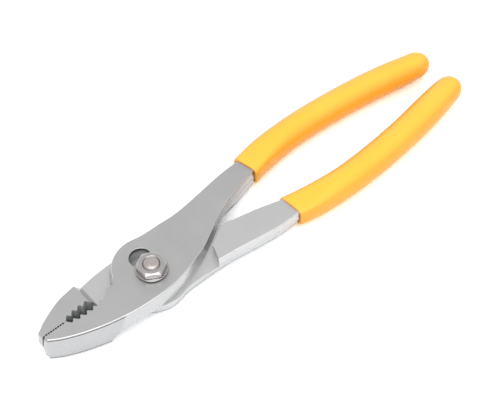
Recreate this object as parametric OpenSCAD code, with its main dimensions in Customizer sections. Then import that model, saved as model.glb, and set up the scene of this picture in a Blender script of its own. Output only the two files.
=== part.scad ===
// Slip joint pliers with a half-lapped joint, a two-position slot and dipped grips.
// Millimetres. The origin is on the pivot axis, at the flat back of the bolt head.
// X runs from the jaws to the handles, Y to the slotted lever's handle, Z to the nut.

/* [Overall] */
// Length from the nose of the jaws to the ends of the grips
overall_l = 200; // [195:0.5:208]
// Distance from the nose to the pivot axis
pivot_x = 46.4; // [45.5:0.1:47.5]
// Distance from the line where the jaws meet to the pivot axis
pivot_y = 2.4; // [2.1:0.1:2.7]

/* [Levers] */
// Thickness of the jaws, which is twice that of a lapped half
jaw_t = 11; // [10:0.1:12]
// Thickness of the shanks behind the joint
shank_t = 7; // [6.4:0.1:7.4]
// Thickness of the tangs inside the grips
tang_t = 5; // [4.4:0.1:5.4]
// Width of the tangs inside the grips
tang_w = 7.6; // [7:0.1:8]
// Height of the blunt nose of one jaw
nose_h = 2.6; // [2.2:0.1:3]
// Distance from the jaw line to the jaw side of the slotted lever's joint
belly_h = 13.9; // [13.5:0.1:14.4]
// Distance from the jaw line to the back of the pivot lever's joint
back_h = 12.8; // [12.4:0.1:13.4]
// How much wider the pivot lever is at its back behind the joint
pivot_back_out = 0.8; // [0:0.1:1]
// Radius of the round knuckle of each lever
knuckle_r = 14.4; // [14:0.1:14.8]
// Forging draft of the outer face, across half the jaw thickness
draft_out = 1.1; // [0.8:0.05:1.3]
// Forging draft of the lapped face, across half the jaw thickness
draft_in = 0.4; // [0.2:0.05:0.6]
// Width of a shank at the mouth of its grip
shank_w = 9.2; // [8.8:0.1:9.8]

/* [Jaw faces] */
// Length of the flat faces at the nose
flat_l = 10.3; // [9:0.1:11]
// Pitch of the fine serrations on the flat faces
fine_pitch = 1; // [0.8:0.05:1.3]
// Depth of the fine serrations
fine_d = 0.35; // [0.2:0.05:0.4]
// Pitch of the coarse teeth in the curved pipe grip
tooth_pitch = 2.75; // [2.6:0.05:2.85]
// Depth of the coarse teeth
tooth_d = 1.25; // [1:0.05:1.4]
// Depth of the hollow of the pipe grip under the jaw line
hollow_d = 1.2; // [0.9:0.05:1.5]
// Half the gap between the closed jaws
jaw_gap = 0.05; // [0.02:0.01:0.1]

/* [Slip joint] */
// Distance between the two pivot positions
slip = 6.6; // [6.2:0.1:6.8]
// Distance from the nose to the shoulders of the jaws
shoulder_x = 21.3; // [21:0.1:21.6]
// How far the shoulders of the jaws lean towards the joint
shoulder_lean = 3.2; // [2:0.1:3.6]
// Radius of the lap recess behind the pivot
recess_r = 24.2; // [24:0.1:24.6]
// Half the gap between the lapped faces
lap_gap = 0.05; // [0.02:0.01:0.1]

/* [Bolt, nut and washer] */
// Diameter of the bolt's shoulder, which turns in the pivot lever
bolt_d = 8.3; // [8:0.05:8.5]
// Width across the two flats of the bolt's shoulder in the slot
bolt_flats = 4.3; // [4:0.05:4.35]
// Diameter of the bolt's head
head_d = 13; // [12:0.1:14]
// Thickness of the bolt's head
head_t = 1.2; // [1:0.05:1.5]
// Thread diameter
thread_d = 6; // [5.5:0.1:6.2]
// Nut width across flats
nut_w = 10; // [9.5:0.1:10.5]
// Nut thickness
nut_t = 2.6; // [2.4:0.1:3]
// Washer outer diameter
washer_d = 12; // [11.5:0.1:12.5]
// Washer thickness
washer_t = 1; // [0.8:0.05:1.2]
// Height of the riveted dome above the nut
dome_h = 0.9; // [0.7:0.05:1.2]

/* [Grips] */
// Distance from the nose to the mouths of the grips
grip_x = 104; // [103.5:0.1:105]
// Greatest distance from the jaw line to the middle of a handle
handle_y = 16.1; // [15.8:0.1:16.8]
// Width of a grip in the hand
grip_w = 12.3; // [11.6:0.1:12.8]
// Thickness of a grip in the hand
grip_t = 11.9; // [11.2:0.1:12.6]
// Width of a grip at its mouth
mouth_w = 11.8; // [11.6:0.1:12.4]
// Thickness of a grip at its mouth
mouth_t = 8.8; // [8.2:0.1:9.4]
// Slant of the mouth on the slotted lever
slotted_mouth_slant = 0; // [0:1:15]
// Slant of the mouth on the pivot lever
pivot_mouth_slant = 15; // [0:1:18]
// Length of the rounded end of a grip
grip_end_l = 6; // [5:0.1:7]
// Steel left out at the closed end of a grip
grip_solid_l = 7; // [6:0.1:9]

/* [Fits] */
// Running clearance of the bolt in the pivot lever's bore, on the radius
bore_fit = 0.05; // [0.03:0.01:0.08]
// Clearance of the bolt in the slot's holes, on the radius
slot_fit = 0.1; // [0.06:0.01:0.15]
// Clearance between faces that seat on each other
seat_fit = 0.04; // [0.02:0.01:0.08]
// Clearance between the steel and the sleeve dipped on it
dip_fit = 0.03; // [0.02:0.01:0.05]

/* [Hidden] */
$fn = 64;
steel = [0.71, 0.72, 0.73];
bright_steel = [0.80, 0.80, 0.81];
vinyl = [0.98, 0.72, 0.16];
half_t = jaw_t / 2;
half_shank = shank_t / 2;
half_tang = tang_t / 2;
// Overrun of cuts, and the height of the blank that the cuts bring to size
cut_over = 2;
blank_h = half_t + cut_over;
middle_z = head_t + seat_fit + half_t;

// Shares of the pivot distance and of the belly height: jaw back, belly and crotch
belly_shares = [[0.09, 0.385], [0.2, 0.555], [0.31, 0.69], [0.46, 0.835], [0.65, 0.955],
                [0.84, 1], [1, 0.99], [1.12, 0.925], [1.24, 0.82], [1.34, 0.69],
                [1.44, 0.53], [1.62, 0.19], [1.75, -0.06], [1.9, -0.265], [2.05, -0.412]];
// Shares of the pivot distance and of the handle height: outer side of the shank, and
// the share of the pivot lever's extra width there
back_shares = [[2.05, 1.055, 0.6], [1.9, 1, 0.9], [1.76, 0.935, 1], [1.6, 0.87, 1],
               [1.44, 0.83, 1], [1.28, 0.805, 1], [1.17, 0.805, 1]];
// Shares of the grip length and of the handle height: middle line of a handle
middle_shares = [[0, 0.805], [0.09, 0.91], [0.19, 0.975], [0.29, 1], [0.41, 0.98],
                 [0.53, 0.925], [0.655, 0.845], [0.78, 0.73], [0.89, 0.615], [1, 0.51]];
// Shares of the pivot distance where the outer face falls from the jaw to the shank
fall_shares = [1.24, 1.52];
// Shares of the pivot distance and of the belly height: crotch of the lap recess
crotch_shares = [[1.5, 0.53], [1.715, 0.175], [1.79, 0.245], [1.92, 0.345], [2.06, 0.422]];
// Shares of the pivot distance and of the belly height: stop behind the last tooth
stop_shares = [[0.58, -0.04], [0.612, 0.094], [0.634, 0.122], [0.694, 0.115], [0.718, 0.38]];
knuckle_from = 72;
knuckle_to = 160;
knuckle_step = 8;
curve_steps = 2;
fall_steps = 8;
grip_sides = 24;
grip_steps = 3;
end_steps = 6;
// Exponents of the grip's section: boxy at the mouth, round in the hand
mouth_power = 3.6;
hand_power = 2.1;
lip_l = 0.8;
lip_in = 0.5;
// Share of the grip's length over which it swells from its mouth to the hand
swell_share = 0.3;
// Least width of the closed end, as a share of the grip's width
end_flat_share = 0.12;
// Where a tooth reaches its root, and where the root ends, as shares of the pitch
tooth_low_share = 0.5;
tooth_end_share = 0.72;
// Centres of the knuckles, as shares of the distances to the pivot
slotted_knuckle_shares = [1, -0.15];
pivot_knuckle_shares = [1.012, 0.3];
// Radius of the bolt's core between its flats, as a share of their half width
core_share = 0.8;
nut_turn = 29;
// The flats turn both ways from the slot's line while the levers swing apart in slipping
flats_turn = 8;
// Drop of the nut's chamfer as a share of its thickness, and its flat face's width
nut_chamfer_share = 0.29;
nut_face_share = 0.89;
head_round = 0.5;

// One point of a Catmull-Rom curve
function spline(p, q, r, s, t) =
    (2 * q + (r - p) * t + (2 * p - 5 * q + 4 * r - s) * t * t
     + (3 * q - p - 3 * r + s) * t * t * t) / 2;

// A smooth curve through the points, which it keeps
function smooth(points, steps) =
    let (last = len(points) - 1)
    [for (i = [0 : last - 1], k = [0 : steps - 1])
        spline(points[max(i - 1, 0)], points[i], points[i + 1], points[min(i + 2, last)],
               k / steps),
     points[last]];

function scaled(shares, x, y) = [for (s = shares) [s[0] * x, s[1] * y]];

// Unit normal on the left of the way from a to b
function left(a, b) = [a[1] - b[1], b[0] - a[0]] / norm(b - a);

// A closed outline, counterclockwise, moved inwards by d with mitred corners
function inset(points, d) =
    let (n = len(points))
    [for (i = [0 : n - 1])
        let (u = left(points[(i + n - 1) % n], points[i]),
             v = left(points[i], points[(i + 1) % n]))
        points[i] + d * (u + v) / (1 + u * v)];

// Middle line of a handle inside its grip, from the mouth to the end
grip_l = overall_l - grip_x;
middle_line = smooth([for (s = middle_shares) [grip_x + s[0] * grip_l, s[1] * handle_y]],
                     grip_steps);
function along(i) =
    let (last = len(middle_line) - 1, a = middle_line[max(i - 1, 0)],
         b = middle_line[min(i + 1, last)])
    left(a, b);

// The tang narrows from the shank at the mouth to its own width
tang_line = [for (i = [0 : len(middle_line) - 1])
    if (middle_line[i][0] < overall_l - grip_solid_l) i];
function tang_half(i) = max(tang_w, shank_w - (shank_w - tang_w) * i / grip_steps) / 2;

// Outline of a lever's forging at its parting line. The jaw points to -Y and the
// handle to +Y, and the jaw face still has its overrun. front_h is the height of the
// jaw's back, knuckle the centre of the knuckle, and back_out the extra width behind it.
function outline(front_h, knuckle, back_out) =
    concat(
        [[0, -nose_h]],
        smooth(concat(
            [for (s = belly_shares)
                let (h = s[0] > shoulder_x / pivot_x && s[0] <= 1 ? front_h : belly_h)
                [s[0] * pivot_x, -s[1] * h]],
            [for (i = tang_line) middle_line[i] - along(i) * tang_half(i)]), curve_steps),
        smooth(concat(
            [for (k = [len(tang_line) - 1 : -1 : 0])
                middle_line[tang_line[k]] + along(tang_line[k]) * tang_half(tang_line[k])],
            [for (s = back_shares) [s[0] * pivot_x, s[1] * handle_y + s[2] * back_out]]),
            curve_steps),
        [for (a = [knuckle_from : knuckle_step : knuckle_to])
            knuckle + knuckle_r * [cos(a), sin(a)]],
        [[0, knuckle[1] + knuckle_r * sin(knuckle_to)]]);

// A solid through rings of points, each counterclockwise seen from the next one
module loft(rings) {
    n = len(rings[0]);
    m = len(rings);
    polyhedron(
        points = [for (r = rings) each r],
        faces = concat(
            [[for (i = [0 : n - 1]) i]],
            [[for (i = [n - 1 : -1 : 0]) (m - 1) * n + i]],
            [for (k = [0 : m - 2], i = [0 : n - 1])
                each [[k * n + i, (k + 1) * n + i, (k + 1) * n + (i + 1) % n],
                      [k * n + i, (k + 1) * n + (i + 1) % n, k * n + (i + 1) % n]]]));
}

// Half the thickness of the outer side at a place between the jaw and the shank
function fall(t) = half_shank + (half_t - half_shank) * (1 + cos(180 * t)) / 2;

// Side view of a lever: full at the jaw, thinner at the shank and the tang
function side_view(extra) =
    let (x0 = fall_shares[0] * pivot_x, x1 = fall_shares[1] * pivot_x,
         t0 = grip_x + grip_end_l, t1 = t0 + grip_end_l)
    concat(
        [for (k = [0 : fall_steps])
            [x0 + (x1 - x0) * k / fall_steps, fall(k / fall_steps) + extra]],
        [[t0, half_shank + extra], [t1, half_tang + extra],
         [overall_l, half_tang + extra], [overall_l, -half_tang - extra],
         [t1, -half_tang - extra], [t0, -half_shank - extra],
         [pivot_x, -half_shank - extra], [shoulder_x, -half_t - extra],
         [-cut_over, -half_t - extra], [-cut_over, half_t + extra]]);

// The forging before machining, with its draft towards both faces
module forging(front_h, knuckle, back_out, extra) {
    shape = outline(front_h, knuckle, back_out);
    slope_in = draft_in / half_t;
    slope_out = draft_out / half_t;
    intersection() {
        rotate([90, 0, 0])
            linear_extrude(height = 2 * overall_l, center = true)
                polygon(side_view(extra));
        loft([for (z = [-blank_h, 0, blank_h])
            [for (p = inset(shape, (z < 0 ? -z * slope_in : z * slope_out) - extra))
                [p[0], p[1], z]]]);
    }
}

// Height of the pipe grip's crests over its circular hollow
hollow_l = floor((stop_shares[0][0] * pivot_x - flat_l) / tooth_pitch) * tooth_pitch;
hollow_r = (hollow_l * hollow_l / 4 + hollow_d * hollow_d) / (2 * hollow_d);
function crest(x) =
    let (u = x - flat_l - hollow_l / 2)
    hollow_r - hollow_d - sqrt(hollow_r * hollow_r - u * u);

// Everything on the far side of a jaw's working face: fine serrations at the nose,
// coarse teeth in the hollow and the stop at the knuckle
module jaw_face_cut() {
    fine_n = floor(flat_l / fine_pitch) - 1;
    coarse_n = round(hollow_l / tooth_pitch);
    fine_x = (flat_l - fine_n * fine_pitch) / 2;
    top = knuckle_r;
    face = concat(
        [[-cut_over, -jaw_gap]],
        [for (i = [0 : fine_n - 1])
            each [[fine_x + i * fine_pitch, -jaw_gap],
                  [fine_x + (i + tooth_low_share) * fine_pitch, -jaw_gap - fine_d]]],
        [[fine_x + fine_n * fine_pitch, -jaw_gap]],
        [for (i = [0 : coarse_n - 1])
            let (x = flat_l + i * tooth_pitch, low = x + tooth_low_share * tooth_pitch,
                 end = x + tooth_end_share * tooth_pitch)
            each [[x, crest(x) - jaw_gap], [low, crest(low) - tooth_d],
                  [end, crest(end) - tooth_d]]],
        [for (s = stop_shares) [s[0] * pivot_x, s[1] * belly_h]],
        [[stop_shares[4][0] * pivot_x, top], [-cut_over, top]]);
    linear_extrude(height = 2 * blank_h, center = true)
        polygon(face);
}

// The lap recess on the inner side, from the jaw's leaning shoulder to the round step
// behind the joint, and along the crotch
module lap_cut(recess_y) {
    crotch = scaled(crotch_shares, pivot_x, belly_h);
    last = len(crotch) - 1;
    intersection() {
        translate([0, 0, lap_gap - 2 * blank_h])
            linear_extrude(height = 2 * blank_h) {
                translate([pivot_x, recess_y])
                    circle(recess_r);
                translate([0, -2 * belly_h])
                    square([pivot_x, 4 * belly_h]);
                polygon(concat(
                    [[pivot_x, -2 * belly_h], [crotch[last][0], -2 * belly_h]],
                    [for (k = [last : -1 : 0]) crotch[k]],
                    [[pivot_x, crotch[0][1]]]));
            }
        rotate([90, 0, 0])
            linear_extrude(height = 4 * belly_h, center = true)
                polygon([[shoulder_x + shoulder_lean, lap_gap], [shoulder_x, -half_t],
                         [shoulder_x, -2 * blank_h], [overall_l, -2 * blank_h],
                         [overall_l, lap_gap]]);
    }
}

// A finished lever in its own pose, jaw to -Y and lapped half to +Z
module lever(front_h, knuckle, back_out, recess_y) {
    difference() {
        forging(front_h, knuckle, back_out, 0);
        jaw_face_cut();
        lap_cut(recess_y);
    }
}

// Puts a piece drawn round the jaw line and the middle plane into the part's frame
module placed() {
    translate([-pivot_x, pivot_y, middle_z])
        children();
}

slotted_knuckle = scaled([slotted_knuckle_shares], pivot_x, pivot_y)[0];
pivot_knuckle = scaled([pivot_knuckle_shares], pivot_x, pivot_y)[0];

// Lever with the figure-eight slot, whose jaw is the lower one
module slotted_lever() {
    color(steel)
        placed()
            difference() {
                lever(belly_h, slotted_knuckle, 0, slip / 2 - pivot_y);
                for (y = [0, slip])
                    translate([pivot_x, y - pivot_y, -cut_over])
                        cylinder(r = bolt_d / 2 + slot_fit, h = half_t + 2 * cut_over);
            }
}

// Lever that the bolt's shoulder turns in
module pivot_lever() {
    color(steel)
        placed()
            rotate([180, 0, 0])
                difference() {
                    lever(back_h, pivot_knuckle, pivot_back_out, pivot_y);
                    translate([pivot_x, pivot_y, -cut_over])
                        cylinder(r = bolt_d / 2 + bore_fit, h = half_t + 2 * cut_over);
                }
}

// Bolt: head, round shoulder in the pivot lever, flats in the slot, thread and dome
module pivot_bolt() {
    lap_z = middle_z;
    top_z = middle_z + half_t + seat_fit / 2;
    core_r = core_share * bolt_flats / 2;
    nut_top_z = middle_z + half_t + 3 * seat_fit + washer_t + nut_t;
    r = thread_d / 2 - seat_fit;
    dome_r = (r * r + dome_h * dome_h) / (2 * dome_h);
    color(bright_steel) {
        rotate_extrude()
            polygon(concat(
                [[0, 0], [head_d / 2 - head_round, 0], [head_d / 2, head_round],
                 [head_d / 2, head_t], [bolt_d / 2, head_t], [bolt_d / 2, lap_z],
                 [core_r, lap_z], [core_r, top_z], [r, top_z], [r, nut_top_z]],
                [for (k = [1 : end_steps])
                    let (a = asin(r / dome_r) * (1 - k / end_steps))
                    [dome_r * sin(a), nut_top_z + dome_h - dome_r * (1 - cos(a))]]));
        intersection() {
            translate([0, 0, head_t])
                cylinder(r = bolt_d / 2, h = top_z - head_t);
            rotate([0, 0, flats_turn])
                translate([-bolt_flats / 2, -bolt_d, lap_z - head_t])
                    cube([bolt_flats, 2 * bolt_d, half_t + head_t]);
        }
    }
}

// Thin hexagon nut with its corners chamfered on top
module pivot_nut() {
    z = middle_z + half_t + 2 * seat_fit + washer_t;
    corner_r = nut_w / sqrt(3);
    face_r = nut_face_share * nut_w / 2;
    slope = nut_chamfer_share * nut_t / (corner_r - face_r);
    over_r = corner_r + 0.5;
    color(bright_steel)
        translate([0, 0, z])
            difference() {
                intersection() {
                    rotate([0, 0, nut_turn])
                        cylinder(r = corner_r, h = nut_t, $fn = 6);
                    rotate_extrude()
                        polygon([[0, -cut_over], [over_r, -cut_over],
                                 [over_r, nut_t - slope * (over_r - face_r)],
                                 [face_r, nut_t], [0, nut_t]]);
                }
                translate([0, 0, -cut_over])
                    cylinder(r = thread_d / 2, h = nut_t + 2 * cut_over);
            }
}

// Plain washer between the nut and the slotted lever
module pivot_washer() {
    color(bright_steel)
        translate([0, 0, middle_z + half_t + seat_fit])
            difference() {
                cylinder(d = washer_d, h = washer_t);
                translate([0, 0, -cut_over])
                    cylinder(r = thread_d / 2 + slot_fit, h = washer_t + 2 * cut_over);
            }
}

// Ring of a grip's section round a point of the middle line
function section(c, n, w, t, power) =
    [for (k = [0 : grip_sides - 1])
        let (a = -360 * k / grip_sides, x = cos(a), y = sin(a),
             u = sign(x) * pow(abs(x), 2 / power) * w / 2,
             v = sign(y) * pow(abs(y), 2 / power) * t / 2)
        [c[0] + n[0] * u, c[1] + n[1] * u, v]];

// How far the grip has swelled from its mouth to the hand, from 0 to 1
function swell(i) =
    let (s = min(i / (len(middle_line) - 1) / swell_share, 1))
    s * s * (3 - 2 * s);

// A dipped grip: snug at the mouth, round in the hand, domed at the end
module grip(front_h, knuckle, back_out, slant) {
    last = len(middle_line) - 1;
    dome_from = [for (i = [0 : last]) if (middle_line[i][0] < overall_l - grip_end_l) i];
    body_end = dome_from[len(dome_from) - 1];
    tip = middle_line[last];
    start = middle_line[body_end];
    function w(i) = mouth_w + (grip_w - mouth_w) * swell(i);
    function t(i) = mouth_t + (grip_t - mouth_t) * swell(i);
    function p(i) = mouth_power + (hand_power - mouth_power) * swell(i);
    lip_way = (middle_line[1] - middle_line[0]) / norm(middle_line[1] - middle_line[0]);
    mouth_way = along(0) + tan(slant) * lip_way;
    difference() {
        loft(concat(
            [section(middle_line[0], mouth_way, w(0) - lip_in, t(0) - lip_in, p(0)),
             section(middle_line[0] + lip_l * lip_way, mouth_way, w(0), t(0), p(0))],
            [for (i = [1 : body_end]) section(middle_line[i], along(i), w(i), t(i), p(i))],
            [for (k = [1 : end_steps])
                let (a = 90 * k / end_steps, s = max(cos(a), end_flat_share))
                section(start + (tip - start) * sin(a), along(last), grip_w * s,
                        grip_t * s, hand_power)]));
        forging(front_h, knuckle, back_out, dip_fit);
    }
}

// Grip of the slotted lever
module slotted_lever_grip() {
    color(vinyl)
        placed()
            grip(belly_h, slotted_knuckle, 0, slotted_mouth_slant);
}

// Grip of the pivot lever
module pivot_lever_grip() {
    color(vinyl)
        placed()
            rotate([180, 0, 0])
                grip(back_h, pivot_knuckle, pivot_back_out, pivot_mouth_slant);
}

slotted_lever();
pivot_lever();
pivot_bolt();
pivot_nut();
pivot_washer();
slotted_lever_grip();
pivot_lever_grip();
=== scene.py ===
"""Looks of the slip joint pliers: plated forged levers, pivot hardware and dipped grips.

The shapes repeat part.scad's sizes in millimetres, round a jaw line at y = 0 and a
middle plane at z = 0, and are then placed in the part's frame in metres.
"""
import math

import bmesh
import bpy
import numpy as np
from mathutils import Matrix, Vector


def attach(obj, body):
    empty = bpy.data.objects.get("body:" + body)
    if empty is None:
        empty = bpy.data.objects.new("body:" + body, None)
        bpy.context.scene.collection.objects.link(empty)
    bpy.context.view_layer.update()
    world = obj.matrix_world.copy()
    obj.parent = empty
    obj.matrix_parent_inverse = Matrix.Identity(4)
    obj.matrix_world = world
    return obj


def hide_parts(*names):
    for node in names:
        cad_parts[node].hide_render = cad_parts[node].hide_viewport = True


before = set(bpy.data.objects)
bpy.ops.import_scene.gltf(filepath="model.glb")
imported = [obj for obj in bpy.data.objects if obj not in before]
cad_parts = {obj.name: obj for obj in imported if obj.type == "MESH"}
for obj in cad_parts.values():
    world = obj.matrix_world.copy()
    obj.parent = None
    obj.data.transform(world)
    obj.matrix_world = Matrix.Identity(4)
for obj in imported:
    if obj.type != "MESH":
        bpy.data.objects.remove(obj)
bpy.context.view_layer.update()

MM = 0.001
TAU = 2 * math.pi

# Sizes of part.scad
OVERALL, PIVOT_X, PIVOT_Y = 200.0, 46.4, 2.4
HALF_T, HALF_SHANK, HALF_TANG = 5.5, 3.5, 2.5
NOSE_H, BELLY_H, BACK_H, KNUCKLE_R = 2.6, 13.9, 12.8, 14.4
DRAFT_OUT, DRAFT_IN = 1.1 / HALF_T, 0.4 / HALF_T
SHANK_W, TANG_W = 9.2, 7.6
FLAT_L, FINE_PITCH, FINE_D = 10.3, 1.0, 0.35
TOOTH_PITCH, TOOTH_D, HOLLOW_D, JAW_GAP = 2.75, 1.25, 1.2, 0.05
TOOTH_LOW, TOOTH_END = 0.5, 0.72
SLIP, SHOULDER_X, SHOULDER_LEAN, RECESS_R, LAP_GAP = 6.6, 21.3, 3.2, 24.2, 0.05
BOLT_R, BOLT_FLATS, HEAD_R, HEAD_T, THREAD_R = 4.15, 4.3, 6.5, 1.2, 3.0
NUT_W, NUT_T, WASHER_R, WASHER_T, DOME_H = 10.0, 2.6, 6.0, 1.0, 0.9
NUT_FACE, NUT_DROP, BACK_OUT = 0.89, 0.75, 0.8
GRIP_X, HANDLE_Y, GRIP_W, GRIP_T = 104.0, 16.1, 12.3, 11.9
MOUTH_W, MOUTH_T, GRIP_END, GRIP_SOLID = 11.8, 8.8, 6.0, 7.0
BORE_FIT, SLOT_FIT, SEAT_FIT = 0.05, 0.1, 0.04
MIDDLE_Z = HEAD_T + SEAT_FIT + HALF_T
FLATS_TURN = 8.0
NUT_TURN, MOUTH_POWER, HAND_POWER, SWELL = 29.0, 3.6, 2.1, 0.3

BELLY = [(0.09, 0.385), (0.2, 0.555), (0.31, 0.69), (0.46, 0.835), (0.65, 0.955), (0.84, 1),
         (1, 0.99), (1.12, 0.925), (1.24, 0.82), (1.34, 0.69), (1.44, 0.53), (1.62, 0.19),
         (1.75, -0.06), (1.9, -0.265), (2.05, -0.412)]
BACK = [(2.05, 1.055, 0.6), (1.9, 1, 0.9), (1.76, 0.935, 1), (1.6, 0.87, 1), (1.44, 0.83, 1),
        (1.28, 0.805, 1), (1.17, 0.805, 1)]
MIDDLE = [(0, 0.805), (0.09, 0.91), (0.19, 0.975), (0.29, 1), (0.41, 0.98), (0.53, 0.925),
          (0.655, 0.845), (0.78, 0.73), (0.89, 0.615), (1, 0.51)]
FALL = (1.24 * PIVOT_X, 1.52 * PIVOT_X)
CROTCH = [(1.5, 0.53), (1.715, 0.175), (1.79, 0.245), (1.92, 0.345), (2.06, 0.422)]
STOP = [(0.58, -0.04), (0.612, 0.094), (0.634, 0.122), (0.694, 0.115), (0.718, 0.38)]
KNUCKLE_ARC = (72, 160)


def spline(points, steps):
    """A Catmull-Rom curve through the points, as part.scad's but finer."""
    p = np.array(points, float)
    out = []
    for i in range(len(p) - 1):
        a, b, c, d = p[max(i - 1, 0)], p[i], p[i + 1], p[min(i + 2, len(p) - 1)]
        for t in np.arange(steps) / steps:
            out.append((2 * b + (c - a) * t + (2 * a - 5 * b + 4 * c - d) * t * t
                        + (3 * b - a - 3 * c + d) * t ** 3) / 2)
    return np.array(out + [p[-1]])


def normals(line):
    """Unit normals on the left of a polyline."""
    way = np.gradient(line, axis=0)
    way /= np.linalg.norm(way, axis=1)[:, None]
    return np.stack([-way[:, 1], way[:, 0]], 1)


MIDDLE_STEPS = 12
MIDDLE_LINE = spline([(GRIP_X + s * (OVERALL - GRIP_X), h * HANDLE_Y) for s, h in MIDDLE],
                     MIDDLE_STEPS)
MIDDLE_N = normals(MIDDLE_LINE)


def placed(flip):
    """From a lever's own plan to the part's frame, turned over for the pivot lever."""
    turn = Matrix.Rotation(math.pi, 4, "X") if flip else Matrix.Identity(4)
    return Matrix.Translation(Vector((-PIVOT_X, PIVOT_Y, MIDDLE_Z)) * MM) @ turn


def make(name, verts, faces, body=None, slot=None, *replaced):
    """A mesh piece in millimetres of the part's frame, turned into metres, on its body."""
    mesh = bpy.data.meshes.new(name)
    mesh.from_pydata([[c * MM for c in v] for v in verts], [], faces)
    mesh.validate()
    piece = bpy.data.objects.new(name, mesh)
    bpy.context.scene.collection.objects.link(piece)
    if body:
        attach(piece, body)
        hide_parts(*replaced)
    return piece


def outward(obj):
    """Makes the face normals of a closed mesh point outwards."""
    bm = bmesh.new()
    bm.from_mesh(obj.data)
    bmesh.ops.recalc_face_normals(bm, faces=bm.faces)
    bm.to_mesh(obj.data)
    bm.free()


def skin(rings):
    """Vertices and faces of an open skin through rings of equal length."""
    n = len(rings[0])
    verts = [tuple(p) for r in rings for p in r]
    faces = [(k * n + i, k * n + (i + 1) % n, (k + 1) * n + (i + 1) % n, (k + 1) * n + i)
             for k in range(len(rings) - 1) for i in range(n)]
    return verts, faces


def loft(rings):
    """The skin through the rings, closed at both ends."""
    verts, faces = skin(rings)
    n = len(rings[0])
    return verts, faces + [tuple(range(n))[::-1], tuple(range(len(verts) - n, len(verts)))]


def prism(points, z0, z1):
    """Vertices and faces of an upright prism over a plan outline."""
    return loft([[(x, y, z) for x, y in points] for z in (z0, z1)])


# Sides of a turned piece, and the radius that stands for the axis in its profile
LATHE_STEPS, AXIS = 96, 0.001


def turned(profile, steps=LATHE_STEPS):
    """The rings of a solid of revolution about z from (radius, z) points."""
    return [[(r * math.cos(TAU * i / steps), r * math.sin(TAU * i / steps), z)
             for i in range(steps)] for r, z in profile]


def boolean(piece, cutter, operation="DIFFERENCE"):
    """Applies a boolean with the cutter, which is then removed."""
    outward(cutter)
    mod = piece.modifiers.new("cut", "BOOLEAN")
    mod.operation, mod.solver, mod.object = operation, "EXACT", cutter
    apply_modifiers(piece)
    bpy.data.objects.remove(cutter)


def apply_modifiers(piece):
    """Replaces the piece's mesh by its evaluated one."""
    deps = bpy.context.evaluated_depsgraph_get()
    mesh = bpy.data.meshes.new_from_object(piece.evaluated_get(deps))
    piece.modifiers.clear()
    piece.data = mesh


# Vertices closer than this are one, and edges sharper than this are sharp
MERGE, SHARP_DEG = 0.004, 32
# Neighbours within this angle are one face, on the forgings and on the turned pieces, and
# the widths of the bevels on the forgings and on the nut
FORGED_FLAT, TURNED_FLAT, FORGED_BEVEL, NUT_BEVEL = 0.4, 0.05, 0.12, 0.14


def clean(piece, flat_deg, bevel_mm, sharp_deg=SHARP_DEG):
    """Merges flat faces, rounds the sharp edges a little and sets the smooth shading."""
    bm = bmesh.new()
    bm.from_mesh(piece.data)
    bmesh.ops.remove_doubles(bm, verts=bm.verts, dist=MERGE * MM)
    bmesh.ops.dissolve_limit(bm, angle_limit=math.radians(flat_deg), verts=bm.verts,
                             edges=bm.edges)
    bmesh.ops.recalc_face_normals(bm, faces=bm.faces)
    bm.to_mesh(piece.data)
    bm.free()
    if bevel_mm:
        mod = piece.modifiers.new("rounded", "BEVEL")
        mod.width, mod.segments, mod.limit_method = bevel_mm * MM, 2, "ANGLE"
        mod.angle_limit, mod.miter_outer = math.radians(sharp_deg), "MITER_ARC"
        mod.use_clamp_overlap = True
        apply_modifiers(piece)
    piece.data.shade_smooth()
    piece.data.set_sharp_from_angle(angle=math.radians(sharp_deg))
    even = piece.modifiers.new("even", "WEIGHTED_NORMAL")
    even.mode, even.weight, even.keep_sharp = "FACE_AREA", 100, True


# Levers

# Steps of the outline's curve, and degrees between the points of its knuckle. The tang is
# laid out over every fourth point of the middle line, and gets to its width in three
OUTLINE_STEPS, KNUCKLE_STEP, TANG_EVERY, TANG_POINTS = 10, 2, 4, 3


def edges_of(front_h, knuckle, back_out):
    """The belly side and the back side of a lever's outline, both along +x."""
    tang = [i for i in range(0, len(MIDDLE_LINE), TANG_EVERY)
            if MIDDLE_LINE[i][0] < OVERALL - GRIP_SOLID]
    half = [max(TANG_W, SHANK_W - (SHANK_W - TANG_W) * k / TANG_POINTS) / 2
            for k in range(len(tang))]
    front = [(s * PIVOT_X, -h * (front_h if SHOULDER_X < s * PIVOT_X <= PIVOT_X else BELLY_H))
             for s, h in BELLY]
    belly = spline(front + [MIDDLE_LINE[i] - MIDDLE_N[i] * w for i, w in zip(tang, half)],
                   OUTLINE_STEPS)
    belly = np.vstack([[0, -NOSE_H], belly])
    back = spline([MIDDLE_LINE[i] + MIDDLE_N[i] * w for i, w in zip(tang, half)][::-1]
                  + [(s * PIVOT_X, h * HANDLE_Y + e * back_out) for s, h, e in BACK],
                  OUTLINE_STEPS)
    arc = np.radians(np.arange(KNUCKLE_ARC[0], KNUCKLE_ARC[1] + 1, KNUCKLE_STEP))
    round_part = np.array(knuckle) + KNUCKLE_R * np.stack([np.cos(arc), np.sin(arc)], 1)
    back = np.vstack([back, round_part, [0, round_part[-1][1]]])[::-1]
    return belly, back


def resampled(line, step):
    """The polyline with points no further apart than the step."""
    out = [line[0]]
    for a, b in zip(line, line[1:]):
        n = max(1, int(np.ceil(np.linalg.norm(b - a) / step)))
        out += [a + (b - a) * k / n for k in range(1, n + 1)]
    return np.array(out)


def softened(line, rounds):
    """The polyline with its kinks eased and its ends kept."""
    line = line.copy()
    for _ in range(rounds):
        line[1:-1] = (line[:-2] + 2 * line[1:-1] + line[2:]) / 4
    return line


def share_of(x, start, end):
    """How far x has come from the start to the end, from 0 to 1."""
    return np.clip((x - start) / (end - start), 0, 1)


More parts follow.
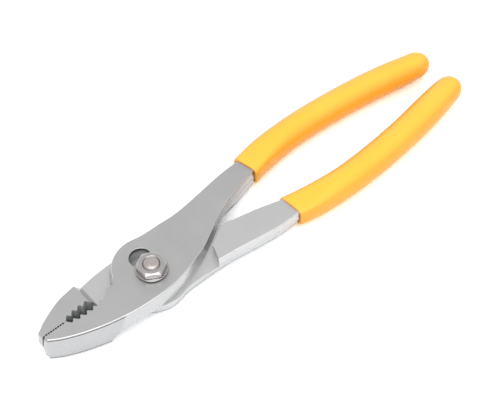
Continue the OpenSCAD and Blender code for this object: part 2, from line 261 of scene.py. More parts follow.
def tang_step(x):
    """The change of the half thickness from the shank to the tang inside the grip."""
    start = GRIP_X + GRIP_END
    return (HALF_TANG - HALF_SHANK) * share_of(x, start, start + GRIP_END)


def top_height(x):
    """Half thickness of the outer side: jaw, fall, shank and tang."""
    fall = (1 + np.cos(np.pi * share_of(x, *FALL))) / 2
    return HALF_SHANK + (HALF_T - HALF_SHANK) * fall + tang_step(x)


def bottom_height(x):
    """Half thickness of the lapped side."""
    rise = share_of(x, SHOULDER_X, PIVOT_X)
    return HALF_T + (HALF_SHANK - HALF_T) * rise + tang_step(x)


# Parting land along the forging: half height, fall at its sides, how far it stands out
LAND, LAND_FALL, PROUD = 0.28, 0.12, 0.08
# The jaws are ground smooth up to here, and the land fades in behind
GROUND = (40, 52)
# Radii of the forging's edges at the flat faces
EDGE_OUT, EDGE_IN, EDGE_STEPS = 0.5, 0.45, 5
# The outline's longest side and easing rounds, the distance of the stations up to the
# shank and on it, where that starts, and the length at the nose that follows its draft
OUTLINE_STEP, OUTLINE_ROUNDS = 0.4, 6
STATION_FINE, STATION_COARSE, SHANK_FROM, NOSE_L = 0.6, 1.2, 72, 6


def forging(front_h, knuckle, back_out):
    """A lever's blank: its outline with draft, parting land and rounded edges."""
    belly, back = edges_of(front_h, knuckle, back_out)
    belly = softened(resampled(belly, OUTLINE_STEP), OUTLINE_ROUNDS)
    back = softened(resampled(back, OUTLINE_STEP), OUTLINE_ROUNDS)
    belly_n, back_n = normals(belly), normals(back)
    end = min(belly[-1][0], back[-1][0])
    stations = np.concatenate([np.arange(0, SHANK_FROM, STATION_FINE),
                               np.arange(SHANK_FROM, end, STATION_COARSE), [end]])

    def ring(inset_of, z_of):
        """A closed outline at the inset and the height that hold at each x."""
        x = stations.copy()
        first = inset_of(np.zeros(1))[0]
        near = x < NOSE_L
        x[near] = first + x[near] * (NOSE_L - first) / NOSE_L
        low = belly + belly_n * inset_of(belly[:, 0])[:, None]
        high = back - back_n * inset_of(back[:, 0])[:, None]
        y0 = np.interp(x, np.maximum.accumulate(low[:, 0]), low[:, 1])
        y1 = np.interp(x, np.maximum.accumulate(high[:, 0]), high[:, 1])
        z = z_of(x)
        return list(zip(x, y0, z)) + list(zip(x, y1, z))[::-1]

    rings = []
    for sign, slope, height, edge in ((-1, DRAFT_IN, bottom_height, EDGE_IN),
                                      (1, DRAFT_OUT, top_height, EDGE_OUT)):
        made = []
        for z, proud in ((LAND, 1), (LAND + LAND_FALL, 0)):
            made.append(ring(
                lambda x: z * slope - proud * (PROUD + z * slope) * share_of(x, *GROUND),
                lambda x: np.full_like(x, sign * z)))
        for k in range(EDGE_STEPS + 1):
            a = math.radians(90 * k / EDGE_STEPS)
            down, back_in = edge * (1 - math.sin(a)), edge * (1 - math.cos(a))
            made.append(ring(lambda x: slope * (height(x) - down) + back_in,
                             lambda x: sign * (height(x) - down)))
        rings += made[::-1] if sign < 0 else made
    verts, faces = skin(rings)
    n = len(stations)
    for start in (0, len(verts) - 2 * n):
        for i in range(n - 1):
            quad = tuple(start + k for k in (i, i + 1, 2 * n - 2 - i, 2 * n - 1 - i))
            faces.append(quad if start else quad[::-1])
    return verts, faces


def crest(x, length):
    """Height of the pipe grip's crests over its circular hollow."""
    r = (length ** 2 / 4 + HOLLOW_D ** 2) / (2 * HOLLOW_D)
    u = x - FLAT_L - length / 2
    return r - HOLLOW_D - math.sqrt(r * r - u * u)


# Flats on the crests of the fine and the coarse teeth
FINE_CREST, TOOTH_CREST = 0.12, 0.2
# How far the cutters reach past the blank: before the nose, up and down, and sideways
# for the jaw's face and for the lap
CUT_X, CUT_Z, FACE_CUT_Y, LAP_CUT_Y = 4, 9, 24, 32


def jaw_face():
    """Plan outline of what the jaw's working face leaves out: serrations, teeth and stop."""
    fine_n = int(FLAT_L / FINE_PITCH) - 1
    fine_x = (FLAT_L - fine_n * FINE_PITCH) / 2
    coarse_n = int((STOP[0][0] * PIVOT_X - FLAT_L) / TOOTH_PITCH)
    length = coarse_n * TOOTH_PITCH
    points = [(-CUT_X, -JAW_GAP)]
    for i in range(fine_n):
        x = fine_x + i * FINE_PITCH
        points += [(x, -JAW_GAP), (x + FINE_CREST, -JAW_GAP),
                   (x + TOOTH_LOW * FINE_PITCH, -JAW_GAP - FINE_D)]
    points.append((fine_x + fine_n * FINE_PITCH, -JAW_GAP))
    for i in range(coarse_n):
        x = FLAT_L + i * TOOTH_PITCH
        low, end = x + TOOTH_LOW * TOOTH_PITCH, x + TOOTH_END * TOOTH_PITCH
        points += [(x, crest(x, length) - JAW_GAP),
                   (x + TOOTH_CREST, crest(x, length) - JAW_GAP),
                   (low, crest(low, length) - TOOTH_D), (end, crest(end, length) - TOOTH_D)]
    points += [(s * PIVOT_X, h * BELLY_H) for s, h in STOP]
    return points + [(STOP[-1][0] * PIVOT_X, FACE_CUT_Y), (-CUT_X, FACE_CUT_Y)]


# Radius of the corner between the jaw's shoulder and its back, how far the step behind
# the joint stands back for the other lever's parting land, and how far from the crotch
# its arc ends
CORNER_R, STEP_BACK, ARC_SHORT = 0.9, 0.2, 0.2


def lap_outline(recess_y):
    """Plan lines of the lap recess: the round step behind the joint, and the crotch."""
    crotch = [(s * PIVOT_X, h * BELLY_H) for s, h in CROTCH]
    crotch[0] = (crotch[0][0] + 2 * STEP_BACK, crotch[0][1] + STEP_BACK)
    radius = RECESS_R + STEP_BACK
    arc = [(PIVOT_X + radius * math.sin(a), recess_y + radius * math.cos(a))
           for a in np.radians(np.arange(0, 90, 1.5))
           if recess_y + radius * math.cos(a) > crotch[0][1] + ARC_SHORT]
    return arc, crotch


def lap_cutter(recess_y, belly):
    """The lap recess, with the jaw's shoulder leaning towards the joint."""
    arc, crotch = lap_outline(recess_y)
    rear = [(PIVOT_X, LAP_CUT_Y)] + arc + crotch + [(crotch[-1][0], -LAP_CUT_Y)]
    rings = []
    for z in (-3 * HALF_T, LAP_GAP):
        x = SHOULDER_X + SHOULDER_LEAN * (z + HALF_T) / (HALF_T + LAP_GAP)
        low = np.interp(x - CORNER_R / 2, belly[:, 0], belly[:, 1]) - DRAFT_IN * z
        shoulder = [(-CORNER_R, -LAP_CUT_Y)] + [
            (CORNER_R * (math.cos(a) - 1), low + CORNER_R * (1 - math.sin(a)))
            for a in np.radians(np.arange(90, -1, -10))] + [(0, LAP_CUT_Y)]
        rings.append([(a, b, z) for a, b in rear] + [(x + a, b, z) for a, b in shoulder])
    return loft(rings)


# Chamfers of the holes at the outer face and at the lap, and how far their cutter runs out
HOLE_CHAMFER, LAP_CHAMFER, OUTER_RUN, LAP_RUN = 0.1, 0.2, 4, 3
# Slots of the lever's materials after its plating, and the zone of the cut faces: how far
# past the last tooth, and between which y
BORE, TEETH = 1, 2
TEETH_PAST, TEETH_LOW, TEETH_HIGH = 4, -2.6, 3
# Limits of the faces' normals: z in a bore, and z and y on the cut faces
BORE_NZ, TEETH_NZ, TEETH_NY = 0.5, 0.3, -0.2


def lever(name, front_h, knuckle, back_out, recess_y, holes, hole_r, flip, body, replaced):
    """A finished lever: blank, jaw face, lap recess and holes, placed in the part's frame."""
    piece = make(name, *forging(front_h, knuckle, back_out), body, "forged_steel", replaced)
    outward(piece)
    belly = edges_of(front_h, knuckle, back_out)[0]
    boolean(piece, make("tool_lap", *lap_cutter(recess_y, belly)))
    boolean(piece, make("tool_face", *prism(jaw_face(), -CUT_Z, CUT_Z)))
    for y in holes:
        rim, lap_rim = hole_r + HOLE_CHAMFER, hole_r + LAP_CHAMFER
        profile = [(rim + OUTER_RUN, HALF_T + OUTER_RUN), (rim, HALF_T),
                   (hole_r, HALF_T - HOLE_CHAMFER), (hole_r, LAP_GAP + LAP_CHAMFER),
                   (lap_rim, LAP_GAP), (lap_rim + LAP_RUN, LAP_GAP - LAP_RUN)]
        cutter = make("tool_hole", *loft(turned(profile)))
        cutter.data.transform(Matrix.Translation(Vector((PIVOT_X, y, 0)) * MM))
        boolean(piece, cutter)
    clean(piece, FORGED_FLAT, FORGED_BEVEL)
    for face in piece.data.polygons:
        c, n = face.center / MM, face.normal
        if abs(n.z) < BORE_NZ and any(math.dist(c[:2], (PIVOT_X, y)) < hole_r + HOLE_CHAMFER
                                      for y in holes):
            face.material_index = BORE
        elif (FLAT_L < c.x < STOP[0][0] * PIVOT_X + TEETH_PAST and abs(n.z) < TEETH_NZ
              and TEETH_LOW < c.y < TEETH_HIGH and n.y > TEETH_NY):
            face.material_index = TEETH
    piece.data.transform(placed(flip))
    store_rise(piece.data, top_height if flip else bottom_height)
    return piece


def store_rise(mesh, half_height):
    """Stores how high each vertex is over the lever's lower edge, for its material."""
    rise = mesh.attributes.new("rise", "FLOAT", "POINT")
    for vert in mesh.vertices:
        x, z = vert.co.x / MM + PIVOT_X, vert.co.z / MM - MIDDLE_Z
        rise.data[vert.index].value = z + float(half_height(x))


slotted = lever("slotted_lever_forging", BELLY_H, (PIVOT_X, -0.15 * PIVOT_Y), 0,
                SLIP / 2 - PIVOT_Y, (-PIVOT_Y, SLIP - PIVOT_Y), BOLT_R + SLOT_FIT, False,
                "slotted_half", "slotted_lever")
pivoted = lever("pivot_lever_forging", BACK_H, (1.012 * PIVOT_X, 0.3 * PIVOT_Y), BACK_OUT,
                PIVOT_Y, (PIVOT_Y,), BOLT_R + BORE_FIT, True, "pivot_half", "pivot_lever")


# Pivot bolt, nut and washer

NUT_Z = MIDDLE_Z + HALF_T + 2 * SEAT_FIT + WASHER_T
NUT_TOP = NUT_Z + SEAT_FIT + NUT_T
# Radii of the turned corners of the bolt and of the washer's rim, and their steps
BOLT_ROUND, RIM_ROUND, ROUND_STEPS = 0.3, 0.22, 4
# The bolt's end: its chamfer, and how far under the nut's top that starts and ends
END_IN, END_START, END_STOP = 0.18, 0.25, 0.05
# Half length of the bolt's flats, how far they reach into its shoulder, and the height of
# the cone between them and the thread
FLATS_L, FLATS_IN, THREAD_CONE = 3.3, 0.5, 0.1
# Steps of the domed ends of bolt and grips, and how full the bolt's is in radius and height
DOME_STEPS, DOME_R_POWER, DOME_H_POWER = 14, 0.8, 0.9
# How far under the nut's top the riveted end's material starts
RIVET_UNDER = 0.03


def rounded_profile(points, radius):
    """The (radius, z) points with the corners marked True rounded off."""
    out = []
    for i, (x, z, soft) in enumerate(points):
        if not soft:
            out.append((x, z))
            continue
        here, before, after = (np.array(points[k][:2], float) for k in (i, i - 1, i + 1))
        a, b = before - here, after - here
        a, b = a / np.linalg.norm(a), b / np.linalg.norm(b)
        p, q = here + a * radius, here + b * radius
        for t in np.arange(ROUND_STEPS + 1) / ROUND_STEPS:
            out.append(tuple((1 - t) ** 2 * p + 2 * t * (1 - t) * here + t * t * q))
    return out


def dome(r, z, h):
    """Profile of a riveted end from its rim to the axis: rounded rim and flatter middle."""
    out = []
    for k in range(1, DOME_STEPS + 1):
        a = math.pi / 2 * k / DOME_STEPS
        out.append((r * max(math.cos(a), AXIS) ** DOME_R_POWER,
                    z + h * math.sin(a) ** DOME_H_POWER))
    return out


def bolt():
    """Head, round shoulder, flats in the slot, thread end and riveted dome."""
    r, half, lap, top = THREAD_R - SEAT_FIT, BOLT_FLATS / 2, MIDDLE_Z, MIDDLE_Z + HALF_T
    points = [(AXIS, 0, False), (HEAD_R, 0, True), (HEAD_R, HEAD_T, True),
              (BOLT_R, HEAD_T, False), (BOLT_R, lap, True), (half, lap, False),
              (half, top, False), (r, top + THREAD_CONE, False),
              (r, NUT_TOP - END_START, False), (r - END_IN, NUT_TOP - END_STOP, False)]
    profile = rounded_profile(points, BOLT_ROUND) + dome(r - END_IN, NUT_TOP, DOME_H)
    piece = make("pivot_bolt_turned", *loft(turned(profile)), "pivot_pin", "fastener_steel",
                 "pivot_bolt")
    flats = make("tool_flats", *prism([(-half, -FLATS_L), (half, -FLATS_L), (half, FLATS_L),
                                       (-half, FLATS_L)], lap - FLATS_IN, top))
    flats.data.transform(Matrix.Rotation(math.radians(FLATS_TURN), 4, "Z"))
    boolean(piece, flats, "UNION")
    clean(piece, TURNED_FLAT, 0)
    for face in piece.data.polygons:
        face.material_index = int(face.center.z > (NUT_TOP - RIVET_UNDER) * MM)
    return piece


# The nut's lower chamfer: its height at the corners, how much wider its face is, and how
# far the cone stands off the corners. The countersink of its thread
NUT_LOW, NUT_LOW_WIDER, NUT_OFF, SINK = 0.45, 0.2, 0.05, 0.3
# Sides of the cone that chamfers the nut, how far it and the bore's cutter run out past
# the faces, and how much narrower the cone is there
CONE_STEPS, CONE_RUN, BORE_RUN, CONE_IN_LOW, CONE_IN_TOP = 120, 0.5, 1, 0.5, 0.8
# Edges sharper than this are sharp on the nut
NUT_SHARP = 25


def nut():
    """Thin hexagon nut, chamfered on both sides and countersunk at its thread."""
    corner = NUT_W / math.sqrt(3)
    hexagon = [(corner * math.cos(math.radians(NUT_TURN + 60 * i)),
                corner * math.sin(math.radians(NUT_TURN + 60 * i))) for i in range(6)]
    piece = make("pivot_nut_hexagon", *prism(hexagon, NUT_Z, NUT_Z + NUT_T), "pivot_pin",
                 "fastener_steel", "pivot_nut")
    face_r, top = NUT_FACE * NUT_W / 2, NUT_Z + NUT_T
    cone = [(AXIS, NUT_Z - CONE_RUN), (face_r - CONE_IN_LOW, NUT_Z - CONE_RUN),
            (face_r + NUT_LOW_WIDER, NUT_Z), (corner + NUT_OFF, NUT_Z + NUT_LOW),
            (corner + NUT_OFF, top - NUT_DROP), (face_r, top),
            (face_r - CONE_IN_TOP, top + CONE_RUN), (AXIS, top + CONE_RUN)]
    boolean(piece, make("tool_cone", *loft(turned(cone, CONE_STEPS))), "INTERSECT")
    wide = THREAD_R + SINK + BORE_RUN
    bore = [(AXIS, NUT_Z - BORE_RUN), (wide, NUT_Z - BORE_RUN), (THREAD_R, NUT_Z + SINK),
            (THREAD_R, top - SINK), (THREAD_R + SINK, top), (wide, top + BORE_RUN),
            (AXIS, top + BORE_RUN)]
    boolean(piece, make("tool_bore", *loft(turned(bore))))
    clean(piece, TURNED_FLAT, NUT_BEVEL, sharp_deg=NUT_SHARP)
    return piece


# The washer's underside rises to its rim: by how much, and over which length
LIFT, LIFT_L = 0.52, 1.1


def washer():
    """Plain washer with the slightly rounded rim and lifted underside of a punched part."""
    z, inner = MIDDLE_Z + HALF_T + SEAT_FIT, THREAD_R + SLOT_FIT
    points = [(inner, z, False), (WASHER_R - LIFT_L, z, False), (WASHER_R, z + LIFT, True),
              (WASHER_R, z + WASHER_T, True), (inner, z + WASHER_T, False)]
    verts, faces = skin(turned(rounded_profile(points, RIM_ROUND)))
    n, last = LATHE_STEPS, len(verts) - LATHE_STEPS
    faces += [(last + i, last + (i + 1) % n, (i + 1) % n, i) for i in range(n)]
    piece = make("pivot_washer_ring", verts, faces, "pivot_pin", "fastener_steel", "pivot_washer")
    clean(piece, TURNED_FLAT, 0)
    # The underside gets the bore material's near black as painted shade under the washer
    for face in piece.data.polygons:
        face.material_index = int(face.normal.z < -0.5)
    return piece


hardware = [bolt(), nut(), washer()]


# Dipped grips

# Sides of the sleeve's section, and the length of the lip at its mouth
GRIP_SIDES, LIP_L = 64, 1.1
# How much slimmer the sleeve gets over its last stretch, before the domed end
TIP_SLIM, TIP_L = 0.1, 20
# Length over which the mouth's slant fades out
SLANT_L = 14
# The lip's section: how far behind the mouth, and what share of the way in to the steel
LIP = ((0.5, 1.0), (0.12, 0.84), (0.0, 0.62), (0.04, 0.36), (0.2, 0.14), (0.5, 0.02))
# How much narrower than the shank the lip ends, and how much squarer it gets there
LIP_DIP, LIP_SQUARER = 0.3, 1.4
# The domed end's least share of the section, and how full its profile is
DOME_LEAST, DOME_FULL = 0.015, 0.86


def swell(share):
    """From the mouth's section to the hand's, 0 to 1, at a share of the grip's length."""
    s = min(share / SWELL, 1)
    return s * s * (3 - 2 * s)


def grip_ring(centre, way, width, thick, power):
    """A superellipse section round a point of the middle line."""
    ring = []
    for k in range(GRIP_SIDES):
        a = -TAU * k / GRIP_SIDES
        x, y = math.cos(a), math.sin(a)
        u = math.copysign(abs(x) ** (2 / power), x) * width / 2
        v = math.copysign(abs(y) ** (2 / power), y) * thick / 2
        ring.append((centre[0] + way[0] * u, centre[1] + way[1] * u, v))
    return ring


def grip(name, slant, flip, body, replaced):
    """A sleeve: rounded lip at the mouth, boxy there, rounder in the hand, domed end."""
    line, way = MIDDLE_LINE, MIDDLE_N
    last = len(line) - 1
    along = (line[1] - line[0]) / np.linalg.norm(line[1] - line[0])
    reach = np.concatenate([[0], np.cumsum(np.linalg.norm(np.diff(line, axis=0), axis=1))])

    def at(i):
        """Width, thickness and power of the section at a point of the line."""
        s = swell(i / last)
        return (MOUTH_W + (GRIP_W - MOUTH_W) * s, MOUTH_T + (GRIP_T - MOUTH_T) * s,
                MOUTH_POWER + (HAND_POWER - MOUTH_POWER) * s)

    def leaning(i):
        """Direction across the sleeve at a point, with the mouth's slant."""
        fade = max(0, 1 - reach[i] / SLANT_L)
        return way[i] + math.tan(math.radians(slant)) * fade * along

    rings = []
    w, t, p = at(0)
    for back, share in LIP:
        inset_w = (w - SHANK_W + LIP_DIP) * share
        inset_t = (t - 2 * HALF_SHANK + LIP_DIP) * share
        rings.append(grip_ring(line[0] + along * back, leaning(0), w - inset_w, t - inset_t,
                               p + LIP_SQUARER * share))
    body_end = max(i for i in range(last + 1) if line[i][0] < OVERALL - GRIP_END)
    for i in range(1, body_end + 1):
        if reach[i] > LIP_L:
            w, t, p = at(i)
            slim = 1 - TIP_SLIM * max(0, 1 - (reach[body_end] - reach[i]) / TIP_L) ** 2
            rings.append(grip_ring(line[i], leaning(i), w * slim, t * slim, p))
    start, tip = line[body_end], line[last]
    for k in range(1, DOME_STEPS + 1):
        a = math.pi / 2 * k / DOME_STEPS
        c = (1 - TIP_SLIM) * max(math.cos(a), DOME_LEAST) ** DOME_FULL
        rings.append(grip_ring(start + (tip - start) * math.sin(a), way[last], GRIP_W * c,
                               GRIP_T * c, HAND_POWER))
    piece = make(name, *loft(rings), body, "grip_vinyl", replaced)
    outward(piece)
    piece.data.shade_smooth()
    piece.data.transform(placed(flip))
    return piece


grips = [grip("slotted_lever_sleeve", 0, False, "slotted_half", "slotted_lever_grip"),
         grip("pivot_lever_sleeve", 15, True, "pivot_half", "pivot_lever_grip")]


# Materials

class Tree:
    """The nodes of a material or a world, with short calls for the kinds that recur."""

    def __init__(self, owner, shader):
        owner.use_nodes = True
        self.nodes, self.links = owner.node_tree.nodes, owner.node_tree.links
        self.shader = self.nodes[shader]

    def feed(self, node, inputs):
        """The node's outputs, once its inputs have their sockets or fixed values."""
        for key, value in inputs.items():
            if isinstance(value, bpy.types.NodeSocket):
                self.links.new(value, node.inputs[key])
            else:
                node.inputs[key].default_value = value
        return node.outputs

    def shade(self, inputs):
        """Sets the inputs of the shader."""
        self.feed(self.shader, inputs)

    def coords(self, kind="Object"):
        """One kind of texture coordinates."""
        return self.nodes.new("ShaderNodeTexCoord").outputs[kind]

    def split(self, vector):
        """The parts X, Y and Z of a vector."""
        return self.feed(self.nodes.new("ShaderNodeSeparateXYZ"), {"Vector": vector})

    def noise(self, scale, detail=3, rough=0.5, stretch=(1, 1, 1)):
        """A noise texture in object space, scale in features per metre."""
        place = self.feed(self.nodes.new("ShaderNodeMapping"),
                          {"Scale": stretch, "Vector": self.coords()})["Vector"]
        return self.feed(self.nodes.new("ShaderNodeTexNoise"), {
            "Scale": scale, "Detail": detail, "Roughness": rough, "Vector": place})["Fac"]

    def ranged(self, value, low, high, from_low=0.3, from_high=0.7):
        """The value mapped from one range to another, by default from that of a noise."""
        return self.feed(self.nodes.new("ShaderNodeMapRange"), {
            "Value": value, "From Min": from_low, "From Max": from_high,
            "To Min": low, "To Max": high})["Result"]

    def between(self, share, none, full):
        """The value that goes from one to the other as the share goes from 0 to 1."""
        return self.ranged(share, none, full, 0, 1)

    def math(self, operation, *values):
        """The result of a math node for sockets and numbers."""
        node = self.nodes.new("ShaderNodeMath")
        node.operation = operation
        return self.feed(node, dict(enumerate(values)))["Value"]

    def product(self, first, *others):
        """The product of sockets and numbers."""
        for other in others:
            first = self.math("MULTIPLY", first, other)
        return first

    def mixed(self, factor, first, second, kind="RGBA"):
        """A colour, or with the kind FLOAT a number, between two others."""
        node = self.nodes.new("ShaderNodeMix")
        node.data_type = kind
        return self.feed(node, {"Factor": factor, "A": first, "B": second})["Result"]

    def tinted(self, value, dark, light):
        """A colour between two fixed ones, by a value from 0 to 1."""
        return self.mixed(value, (*dark, 1), (*light, 1))

    def bumped(self, height, distance, strength, under=None):
        """A normal bent by a height, distance in mm, on top of another bent normal."""
        inputs = {"Distance": distance * MM, "Strength": strength, "Height": height}
        if under:
            inputs["Normal"] = under
        return self.feed(self.nodes.new("ShaderNodeBump"), inputs)["Normal"]


def material(name):
    """A new material and its tree."""
    mat = bpy.data.materials.new(name)
    return mat, Tree(mat, "Principled BSDF")


# Size of a normal's z at a side and at a flat face, and half the spread of the tone
FLAT_FACE, SPREAD = (0.8, 0.97), 0.015
# Where the jaw's tone turns into the tone behind it, in x from the pivot
TONE_LINE = (-23.8 * MM, -22.6 * MM)
# Painted shade on the jaw's ground sides: the share of the tone of the forged sides behind them,
# and half the width in mm over which it ends at the leaning shoulder
JAW_SIDE, SHOULDER_BLUR = 0.88, 0.5
# Painted shade in a line under the jaw's edge: its middle below the edge's radius and its half
# width in mm, its darkening, and the share of its width that has all of that
EDGE_SHADE, EDGE_SHADE_HALF, EDGE_SHADE_DARK, EDGE_SHADE_CORE = 0.12, 0.26, 0.8, 0.4
# Painted shade along the lower edge, darker and less metallic: the heights over it in mm where
# it ends, the normal's z that it starts from, its gain and how metallic it is
LOW_SHADE_RISE, LOW_SHADE_TURN, LOW_SHADE_GAIN, LOW_SHADE_METAL = (0.45, 1.2), (-0.985, -0.93), 0.2, 0.4
# Painted light on the lapped faces: distances from the middle plane where its gain ends, the
# stretch of x over which it comes in, and the share of it that the sides get
LAP_NEAR, LAP_ALONG, LAP_SIDES = (0.3 * MM, 0.6 * MM), (-4 * MM, 6 * MM), 0.3


def plated_steel(name, jaw_tone, tone, side_gain, lap_gain, up):
    """Satin plating: ground flat faces, smoother forged sides, painted shade at the lower edge."""
    mat, tree = material(name)
    x, _, z = tree.split(tree.coords())
    geometry = tree.nodes.new("ShaderNodeNewGeometry")
    normal_z = tree.split(geometry.outputs["Normal"])["Z"]
    flat = tree.ranged(tree.math("ABSOLUTE", normal_z), 0, 1, *FLAT_FACE)
    cloud = tree.noise(90, 4, 0.6)
    grain = tree.noise(2600, 2, 0.6)
    lines = tree.noise(500, 3, 0.7, (0.12, 1, 1))

    blend = tree.ranged(cloud, 0, 1)
    tones = [tree.tinted(blend, (t - SPREAD,) * 3, (t + SPREAD,) * 3) for t in (jaw_tone, tone)]
    colour = tree.mixed(tree.ranged(x, 0, 1, *TONE_LINE), *tones)

    height = tree.product(tree.math("SUBTRACT", z, MIDDLE_Z * MM), up)
    lean = tree.product(height, SHOULDER_LEAN / (HALF_T + LAP_GAP))
    shoulder = SHOULDER_X + SHOULDER_LEAN - PIVOT_X
    jaw = tree.ranged(tree.math("SUBTRACT", x, lean), 1, 0, (shoulder - SHOULDER_BLUR) * MM,
                      (shoulder + SHOULDER_BLUR) * MM)
    jaw_side = tree.product(jaw, tree.math("SUBTRACT", 1, flat))
    # Painted shade in a line under the jaw's edge, on the jaw's sides
    off = tree.math("SUBTRACT", height, (HALF_T - EDGE_OUT - EDGE_SHADE) * MM)
    edge_shade = tree.product(jaw_side, tree.ranged(
        tree.math("ABSOLUTE", off), EDGE_SHADE_DARK, 0, EDGE_SHADE_CORE * EDGE_SHADE_HALF * MM,
        EDGE_SHADE_HALF * MM))
    rise = tree.nodes.new("ShaderNodeAttribute")
    rise.attribute_name = "rise"
    # Painted shade along the lower edge of the sides
    low_shade = tree.product(tree.ranged(rise.outputs["Fac"], 1, 0, *LOW_SHADE_RISE),
                        tree.ranged(normal_z, 0, 1, *LOW_SHADE_TURN))
    # Painted light on the lapped faces near the middle plane
    lap = tree.product(tree.ranged(tree.math("ABSOLUTE", height), 1, 0, *LAP_NEAR),
                       tree.ranged(x, 0, 1, *LAP_ALONG), tree.between(flat, LAP_SIDES, 1))
    # Painted light and shade in the base colour: side_gain paints the sides lighter, lap_gain the
    # lapped faces, and JAW_SIDE, the line under the jaw's edge and the lower edge paint shade
    gain = tree.product(tree.between(flat, side_gain, 1), tree.between(jaw_side, 1, JAW_SIDE),
                        tree.math("SUBTRACT", 1, edge_shade), tree.between(low_shade, 1, LOW_SHADE_GAIN),
                        tree.between(lap, 1, lap_gain))
    lit = tree.nodes.new("ShaderNodeVectorMath")
    lit.operation = "SCALE"

    wave = tree.bumped(tree.noise(160, 1, 0.4), 0.02, 0.2)
    fine = tree.bumped(lines, 0.002, 0.12, wave)
    tree.shade({
        "Base Color": tree.feed(lit, {"Vector": colour, "Scale": gain})["Vector"],
        "Metallic": tree.between(low_shade, 1, LOW_SHADE_METAL),
        "Roughness": tree.mixed(flat, tree.ranged(cloud, 0.22, 0.32),
                                tree.ranged(grain, 0.42, 0.52), "FLOAT"),
        "Normal": tree.bumped(grain, 0.001, 0.12, fine)})
    return mat


def fastener_steel(name, cloud_scale, dark, light, rough, dent_scale, dent, strength):
    """Hardware steel, a little uneven in tone and gloss, with shallow dents."""
    mat, tree = material(name)
    cloud = tree.noise(cloud_scale, 3, 0.6)
    tree.shade({"Metallic": 1, "Base Color": tree.tinted(tree.ranged(cloud, 0, 1), dark, light),
                "Roughness": tree.ranged(cloud, *rough),
                "Normal": tree.bumped(tree.noise(dent_scale, 1), dent, strength)})
    return mat


def dipped_vinyl():
    """Smooth yellow vinyl with slight runs, painted orange at the sides and yellow on top and
    bottom as painted shade and light.
    """
    mat, tree = material("dipped_vinyl")
    cloud = tree.ranged(tree.noise(60), 0, 1)
    # Painted light and shade: faces up or down get the lit yellow, the sides the shaded orange
    level = tree.math("ABSOLUTE", tree.split(tree.coords("Normal"))["Z"])
    shaded_side_colour = tree.tinted(cloud, (0.95, 0.4, 0.03), (0.97, 0.43, 0.04))
    lit_top_colour = tree.tinted(cloud, (0.96, 0.555, 0.052), (0.98, 0.585, 0.062))
    runs = tree.bumped(tree.noise(90, 1, 0.5, (0.35, 1, 1)), 0.06, 0.15)
    tree.shade({"Base Color": tree.mixed(tree.ranged(level, 0, 1, 0.6, 0.97), shaded_side_colour, lit_top_colour),
                "Roughness": tree.ranged(tree.noise(200), 0.23, 0.29),
                "Specular IOR Level": 0.45,
                "Normal": tree.bumped(tree.noise(1500, 1), 0.002, 0.1, runs)})
    return mat


# Heights between which the bore's bare steel turns into painted shade, towards its outer rim
BORE_SHADE = ((MIDDLE_Z + HALF_T - 2.5) * MM, (MIDDLE_Z + HALF_T - 0.9) * MM)


def dark_bore():
    """Unplated steel in the bores, with painted shade towards the outer rim and under the washer.
    """
    mat, tree = material("bore_painted_shade")
    cloud = tree.noise(900, 3, 0.6)
    blend = tree.ranged(cloud, 0, 1)
    bare = tree.tinted(blend, (0.42, 0.43, 0.425), (0.62, 0.63, 0.62))
    # Painted shade: near black towards the bore's outer rim and on the washer's underside
    shaded_rim = tree.tinted(blend, (0.04, 0.042, 0.04), (0.09, 0.092, 0.088))
    depth = tree.ranged(tree.split(tree.coords())["Z"], 0, 1, *BORE_SHADE)
    tree.shade({"Metallic": 0.4, "Base Color": tree.mixed(depth, bare, shaded_rim),
                "Roughness": tree.ranged(cloud, 0.4, 0.6)})
    return mat


def cut_teeth():
    """Milled pipe grip teeth: duller than the plating, with fine tool marks across."""
    mat, tree = material("milled_teeth")
    marks = tree.noise(900, 3, 0.6, (1, 1, 0.1))
    tree.shade({"Metallic": 0.3,
                "Base Color": tree.tinted(tree.ranged(marks, 0, 1), (0.29, 0.315, 0.312),
                                          (0.45, 0.475, 0.472)),
                "Roughness": tree.ranged(marks, 0.4, 0.6),
                "Normal": tree.bumped(marks, 0.02, 0.3)})
    return mat


def dress(piece, *mats):
    """Gives a piece its materials, in the order of its material slots."""
    for mat in mats:
        piece.data.materials.append(mat)


bright = fastener_steel("bright_plated_steel", 400, (0.46, 0.447, 0.442), (0.5, 0.484, 0.478),
                        (0.2, 0.3), 500, 0.003, 0.15)
# The peened end of the bolt is duller and a little warmer, with hammer marks
riveted = fastener_steel("riveted_bolt_end", 500, (0.47, 0.43, 0.415), (0.52, 0.48, 0.465),
                         (0.38, 0.48), 450, 0.02, 0.25)
vinyl, dark, teeth = dipped_vinyl(), dark_bore(), cut_teeth()
# side_gain 1.09 paints the slotted lever's sides lighter; lap_gain 1.05 paints the pivot lever's
# lapped faces lighter
dress(slotted, plated_steel("satin_plated_steel", 0.505, 0.505, 1.09, 1, 1), dark, teeth)
dress(pivoted, plated_steel("pale_plated_steel", 0.5, 0.6, 1, 1.05, -1), dark, teeth)
dress(hardware[0], bright, riveted)
dress(hardware[1], bright)
# The washer's second material paints shade on its underside
dress(hardware[2], bright, dark)
for piece in grips:
    dress(piece, vinyl)


# Floor, light and camera

# Half the floor's side, its colour under the object, the brightness that the camera sees
# and its tint, and the share of that in mirrored rays
FLOOR_HALF, FLOOR_TONE = 3000, 0.8
FLOOR_SEEN, FLOOR_TINT, FLOOR_MIRRORED = 1.3, 0.015, 0.65
# The sky's strength for the light, the one seen overhead, and the z where that comes in
SKY_LIGHT, SKY_HIGH, SKY_RISE = 0.78, 0.84, (0.35, 0.75)
# Soft lamps: name, place from the tool's middle and size in metres, power in watts
LAMPS = (("front", (-0.25, -0.29, 0.65), 0.7, 3.4), ("edge", (0.12, -0.56, 0.5), 0.2, 0.35))
TOOL_MIDDLE = Vector((50, 0, 0)) * MM
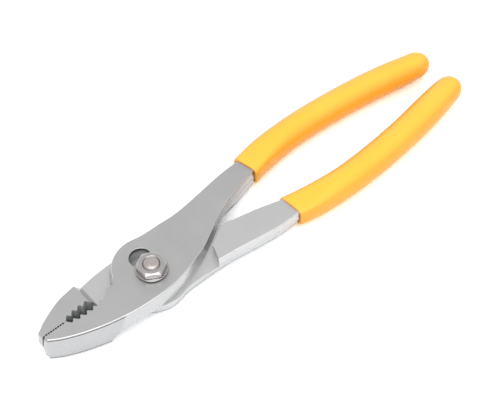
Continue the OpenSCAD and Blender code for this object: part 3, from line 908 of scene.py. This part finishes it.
# The photo's camera: degrees about z and up, distance in mm, focal length and sensor
CAMERA_TURN, CAMERA_UP, CAMERA_AWAY, CAMERA_LENS, SENSOR = 41.3, 52.4, 452.0, 86.4, 36
CAMERA_AIM = Vector((47.69, 1.26, MIDDLE_Z)) * MM


def seen_rays(tree, mirrored=1.0):
    """1 for camera rays, and a share for the glossy and transmission rays that show it too."""
    path = tree.nodes.new("ShaderNodeLightPath").outputs
    value = path["Is Camera Ray"]
    for ray in ("Is Glossy Ray", "Is Transmission Ray"):
        value = tree.math("MAXIMUM", value, tree.product(path[ray], mirrored))
    return value


def backdrop():
    """A wide white floor that keeps the object's shadow."""
    corners = [(x * FLOOR_HALF, y * FLOOR_HALF, 0) for x, y in ((-1, -1), (1, -1), (1, 1), (-1, 1))]
    floor = make("floor", corners, [(0, 1, 2, 3)])
    mat, tree = material("white_floor")
    seen = [FLOOR_SEEN * (1 + FLOOR_TINT * k) for k in (-1, 0, 1)]
    tree.shade({"Roughness": 1, "Specular IOR Level": 0,
                "Base Color": tree.tinted(seen_rays(tree, FLOOR_MIRRORED), (FLOOR_TONE,) * 3,
                                          seen)})
    dress(floor, mat)


def sky():
    """White round the object, and a little greyer overhead."""
    world = bpy.data.worlds.new("studio")
    bpy.context.scene.world = world
    tree = Tree(world, "Background")
    seen = tree.ranged(tree.split(tree.coords("Generated"))["Z"], 1, SKY_HIGH, *SKY_RISE)
    tree.shade({"Color": (1, 1, 1, 1),
                "Strength": tree.mixed(seen_rays(tree), SKY_LIGHT, seen, "FLOAT")})


def facing(data, place, way):
    """An object for a lamp's or camera's data, at a place and looking the given way."""
    obj = bpy.data.objects.new(data.name, data)
    bpy.context.scene.collection.objects.link(obj)
    obj.location = place
    obj.rotation_euler = way.to_track_quat("-Z", "Y").to_euler()
    return obj


backdrop()
sky()
for name, place, size, power in LAMPS:
    light = bpy.data.lights.new(name, "AREA")
    light.shape, light.size, light.energy = "SQUARE", size, power
    facing(light, TOOL_MIDDLE + Vector(place), -Vector(place))
turn, tilt = math.radians(CAMERA_TURN), math.radians(CAMERA_UP)
back = Vector((-math.sin(turn) * math.cos(tilt), -math.cos(turn) * math.cos(tilt), math.sin(tilt)))
lens = bpy.data.cameras.new("photo")
lens.lens, lens.sensor_width = CAMERA_LENS, SENSOR
lens.clip_start, lens.clip_end = 0.01, 10
bpy.context.scene.camera = facing(lens, CAMERA_AIM + back * CAMERA_AWAY * MM, -back)
bpy.context.scene.view_settings.view_transform = "Standard"
